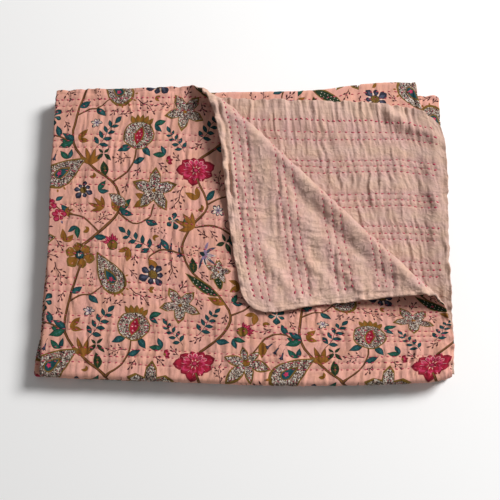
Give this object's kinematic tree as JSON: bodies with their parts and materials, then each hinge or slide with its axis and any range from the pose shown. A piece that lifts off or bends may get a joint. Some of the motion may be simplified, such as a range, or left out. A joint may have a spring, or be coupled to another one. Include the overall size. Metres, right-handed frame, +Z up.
{
  "type": "kantha quilt",
  "caption": "Thin stitched cotton quilt folded into a flat stack, with the corner of its top layer rolled back to show the plain side.",
  "frame": {"origin": "under the middle of the folded quilt, on the surface it lies on", "axes": "+X to the right along the folded quilt's long side, from the side fold towards the open side edges; +Y to the back; +Z up"},
  "size_m": [0.5195, 0.4023, 0.0485],
  "materials": {
    "printed_cotton": "salmon pink cotton with a floral print, matt and crinkled",
    "plain_cotton": "plain peach cotton, matt and puckered between the stitch rows",
    "stitch_thread": "raspberry pink cotton thread in running stitch"
  },
  "bodies": {
    "root": {"quilt": "printed_cotton"}
  },
  "joints": []
}
